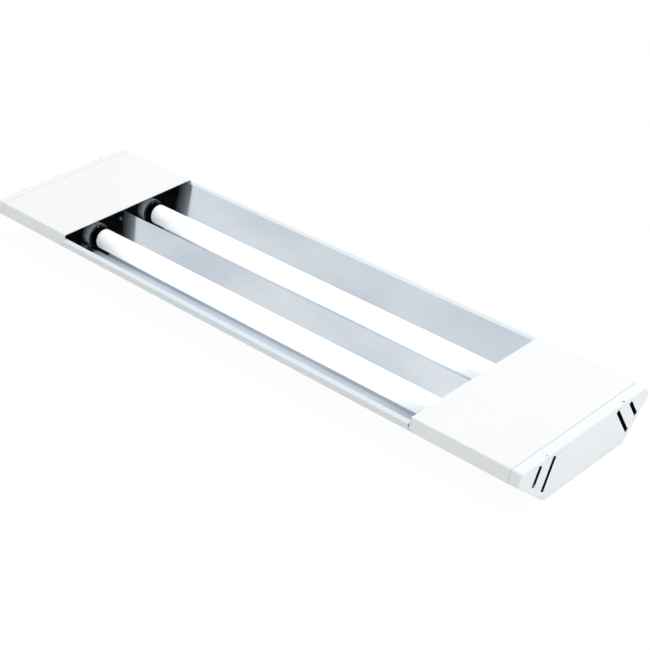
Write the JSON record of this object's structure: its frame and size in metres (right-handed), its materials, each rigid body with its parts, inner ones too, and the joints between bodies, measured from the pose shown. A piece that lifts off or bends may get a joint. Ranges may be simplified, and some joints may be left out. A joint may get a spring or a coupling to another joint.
{
  "type": "surface-mounted fluorescent light fixture",
  "caption": "Low trough-shaped surface luminaire with fluorescent tubes over a ridged mirror reflector, flat gear covers and vented end caps.",
  "frame": {"origin": "middle of the flat mounting face", "axes": "+X along the lamps, +Y across them, +Z out of the mounting face towards the light side"},
  "size_m": [0.8558, 0.216, 0.0525],
  "materials": {
    "white_paint": "smooth white powder coat",
    "white_moulding": "smooth white moulding",
    "mirror_sheet": "bright anodised aluminium",
    "black_paint": "matt black paint",
    "holder_plastic": "pale grey thermoplastic",
    "rotor_plastic": "pale grey thermoplastic",
    "tube_glass": "phosphor-coated white glass",
    "cap_metal": "dark polished cap shell",
    "brass": "bare brass",
    "steel": "zinc-plated steel",
    "spring_steel": "blued spring steel",
    "ballast_case": "lacquered lamination stack",
    "gear_plastic": "off-white moulding",
    "starter_can": "white polycarbonate can",
    "black_rubber": "black rubber",
    "lead_white": "white insulation",
    "lead_brown": "brown insulation",
    "lead_blue": "blue insulation"
  },
  "bodies": {
    "body": {"back_left_lampholder": "holder_plastic", "back_right_lampholder": "holder_plastic", "ballast_leads": "lead_brown", "cable_grommet": "black_rubber", "earth_nut": "brass", "earth_stud": "brass", "end_cap_screws": "steel", "floor_nuts": "steel", "floor_studs": "steel", "front_left_lampholder": "holder_plastic", "front_right_lampholder": "holder_plastic", "housing": "white_paint", "lamp_leads": "lead_blue", "lampholder_contacts": "brass", "left_ballast": "ballast_case", "left_ballast_terminals": "gear_plastic", "left_bulkhead": "black_paint", "left_end_cap": "white_moulding", "left_starter_socket": "gear_plastic", "left_terminal_block": "gear_plastic", "reflector": "mirror_sheet", "right_ballast": "ballast_case", "right_ballast_terminals": "gear_plastic", "right_bulkhead": "black_paint", "right_end_cap": "white_moulding", "right_starter_socket": "gear_plastic", "right_terminal_block": "gear_plastic", "starter_leads": "lead_white", "starter_socket_screws": "steel", "terminal_screws": "brass", "through_cable": "lead_white", "wire_bushes": "black_rubber"},
    "front_lamp": {"front_tube_glass": "tube_glass", "front_tube_pins": "brass", "front_tube_cathodes": "steel", "front_left_tube_cap": "cap_metal", "front_right_tube_cap": "cap_metal", "front_left_rotor": "rotor_plastic", "front_right_rotor": "rotor_plastic"},
    "back_lamp": {"back_tube_glass": "tube_glass", "back_tube_pins": "brass", "back_tube_cathodes": "steel", "back_left_tube_cap": "cap_metal", "back_right_tube_cap": "cap_metal", "back_left_rotor": "rotor_plastic", "back_right_rotor": "rotor_plastic"},
    "left_cover": {"left_cover": "white_paint", "left_cover_clips": "spring_steel"},
    "left_starter": {"left_starter": "starter_can"},
    "right_cover": {"right_cover": "white_paint", "right_cover_clips": "spring_steel"},
    "right_starter": {"right_starter": "starter_can"}
  },
  "joints": [
    {"name": "front_lamp_turn", "type": "hinge", "parent": "body", "child": "front_lamp", "pos_m": [0, -0.0445, 0.024], "axis": [1, 0, 0], "range_deg": [0, 90]},
    {"name": "back_lamp_turn", "type": "hinge", "parent": "body", "child": "back_lamp", "pos_m": [0, 0.0445, 0.024], "axis": [1, 0, 0], "range_deg": [0, 90]},
    {"name": "left_cover_lift", "type": "slide", "parent": "body", "child": "left_cover", "axis": [0, 0, 1], "range_m": [0, 0.06]},
    {"name": "left_starter_turn", "type": "hinge", "parent": "body", "child": "left_starter", "pos_m": [-0.338, 0, 0.03655], "axis": [-1, 0, 0], "range_deg": [0, 40]},
    {"name": "right_cover_lift", "type": "slide", "parent": "body", "child": "right_cover", "axis": [0, 0, 1], "range_m": [0, 0.06]},
    {"name": "right_starter_turn", "type": "hinge", "parent": "body", "child": "right_starter", "pos_m": [0.338, 0, 0.03655], "axis": [1, 0, 0], "range_deg": [0, 40]}
  ]
}
